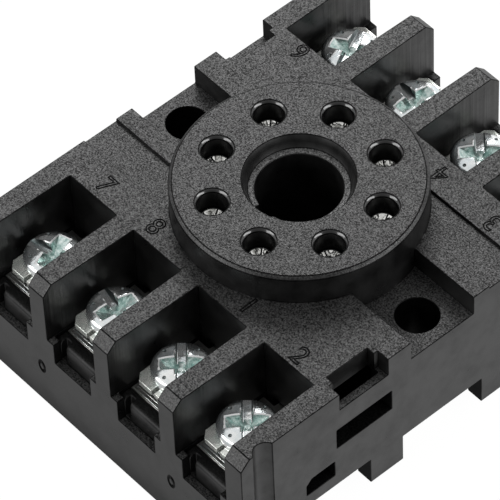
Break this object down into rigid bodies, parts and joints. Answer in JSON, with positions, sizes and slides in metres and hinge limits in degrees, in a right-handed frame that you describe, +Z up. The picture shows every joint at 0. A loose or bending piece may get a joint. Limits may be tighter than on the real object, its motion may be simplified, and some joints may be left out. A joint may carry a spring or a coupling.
{
  "type": "relay socket",
  "caption": "Rectangular black plug-in relay socket with a round octal pin boss, screw terminals at both ends, screw mounting holes and a rail latch beneath.",
  "frame": {"origin": "centre of the underside, level with the feet of the two end legs", "axes": "+Z up along the key bore, Y along the length with terminals 7, 8, 1, 2 at the -Y end, X along the terminal rows"},
  "size_m": [0.04, 0.0504, 0.0215],
  "materials": {
    "housing_plastic": "black moulded plastic, fine grain",
    "cover_plastic": "black moulded plastic",
    "latch_plastic": "black moulded plastic",
    "spring_steel": "bright wire",
    "contact_strip": "nickel plated strip",
    "washer_plate": "bright zinc plate",
    "screw_plate": "bright zinc plate"
  },
  "bodies": {
    "socket": {"housing": "housing_plastic", "base_cover": "cover_plastic", "latch_spring": "spring_steel", "contact_1": "contact_strip", "contact_2": "contact_strip", "contact_3": "contact_strip", "contact_4": "contact_strip", "contact_5": "contact_strip", "contact_6": "contact_strip", "contact_7": "contact_strip", "contact_8": "contact_strip"},
    "latch": {"rail_latch": "latch_plastic"},
    "clamp_1": {"washer_1": "washer_plate"},
    "screw_1_body": {"screw_1": "screw_plate"},
    "clamp_2": {"washer_2": "washer_plate"},
    "screw_2_body": {"screw_2": "screw_plate"},
    "clamp_3": {"washer_3": "washer_plate"},
    "screw_3_body": {"screw_3": "screw_plate"},
    "clamp_4": {"washer_4": "washer_plate"},
    "screw_4_body": {"screw_4": "screw_plate"},
    "clamp_5": {"washer_5": "washer_plate"},
    "screw_5_body": {"screw_5": "screw_plate"},
    "clamp_6": {"washer_6": "washer_plate"},
    "screw_6_body": {"screw_6": "screw_plate"},
    "clamp_7": {"washer_7": "washer_plate"},
    "screw_7_body": {"screw_7": "screw_plate"},
    "clamp_8": {"washer_8": "washer_plate"},
    "screw_8_body": {"screw_8": "screw_plate"}
  },
  "joints": [
    {"name": "latch_slide", "type": "slide", "parent": "socket", "child": "latch", "axis": [0, 1, 0], "range_m": [0, 0.002], "stiffness_N_per_m": 500, "springref_m": -0.001, "deforming": ["latch_spring"]},
    {"name": "clamp_1_lift", "type": "slide", "parent": "socket", "child": "clamp_1", "axis": [0, 0, 1], "range_m": [-0.0016, 0.0015]},
    {"name": "screw_1_turn", "type": "hinge", "parent": "clamp_1", "child": "screw_1_body", "pos_m": [0.00468, -0.0193, 0.0127], "axis": [0, 0, 1], "range_deg": [-960, 900]},
    {"name": "clamp_2_lift", "type": "slide", "parent": "socket", "child": "clamp_2", "axis": [0, 0, 1], "range_m": [-0.0016, 0.0015]},
    {"name": "screw_2_turn", "type": "hinge", "parent": "clamp_2", "child": "screw_2_body", "pos_m": [0.01405, -0.0193, 0.0127], "axis": [0, 0, 1], "range_deg": [-960, 900]},
    {"name": "clamp_3_lift", "type": "slide", "parent": "socket", "child": "clamp_3", "axis": [0, 0, 1], "range_m": [-0.0016, 0.0015]},
    {"name": "screw_3_turn", "type": "hinge", "parent": "clamp_3", "child": "screw_3_body", "pos_m": [0.01405, 0.0193, 0.0127], "axis": [0, 0, 1], "range_deg": [-960, 900]},
    {"name": "clamp_4_lift", "type": "slide", "parent": "socket", "child": "clamp_4", "axis": [0, 0, 1], "range_m": [-0.0016, 0.0015]},
    {"name": "screw_4_turn", "type": "hinge", "parent": "clamp_4", "child": "screw_4_body", "pos_m": [0.00468, 0.0193, 0.0127], "axis": [0, 0, 1], "range_deg": [-960, 900]},
    {"name": "clamp_5_lift", "type": "slide", "parent": "socket", "child": "clamp_5", "axis": [0, 0, 1], "range_m": [-0.0016, 0.0015]},
    {"name": "screw_5_turn", "type": "hinge", "parent": "clamp_5", "child": "screw_5_body", "pos_m": [-0.00468, 0.0193, 0.0127], "axis": [0, 0, 1], "range_deg": [-960, 900]},
    {"name": "clamp_6_lift", "type": "slide", "parent": "socket", "child": "clamp_6", "axis": [0, 0, 1], "range_m": [-0.0016, 0.0015]},
    {"name": "screw_6_turn", "type": "hinge", "parent": "clamp_6", "child": "screw_6_body", "pos_m": [-0.01405, 0.0193, 0.0127], "axis": [0, 0, 1], "range_deg": [-960, 900]},
    {"name": "clamp_7_lift", "type": "slide", "parent": "socket", "child": "clamp_7", "axis": [0, 0, 1], "range_m": [-0.0016, 0.0015]},
    {"name": "screw_7_turn", "type": "hinge", "parent": "clamp_7", "child": "screw_7_body", "pos_m": [-0.01405, -0.0193, 0.0127], "axis": [0, 0, 1], "range_deg": [-960, 900]},
    {"name": "clamp_8_lift", "type": "slide", "parent": "socket", "child": "clamp_8", "axis": [0, 0, 1], "range_m": [-0.0016, 0.0015]},
    {"name": "screw_8_turn", "type": "hinge", "parent": "clamp_8", "child": "screw_8_body", "pos_m": [-0.00468, -0.0193, 0.0127], "axis": [0, 0, 1], "range_deg": [-960, 900]}
  ],
  "couplings": [
    {"joint": "screw_1_turn", "follows": "clamp_1_lift", "rad_per_m": 10472},
    {"joint": "screw_2_turn", "follows": "clamp_2_lift", "rad_per_m": 10472},
    {"joint": "screw_3_turn", "follows": "clamp_3_lift", "rad_per_m": 10472},
    {"joint": "screw_4_turn", "follows": "clamp_4_lift", "rad_per_m": 10472},
    {"joint": "screw_5_turn", "follows": "clamp_5_lift", "rad_per_m": 10472},
    {"joint": "screw_6_turn", "follows": "clamp_6_lift", "rad_per_m": 10472},
    {"joint": "screw_7_turn", "follows": "clamp_7_lift", "rad_per_m": 10472},
    {"joint": "screw_8_turn", "follows": "clamp_8_lift", "rad_per_m": 10472}
  ]
}
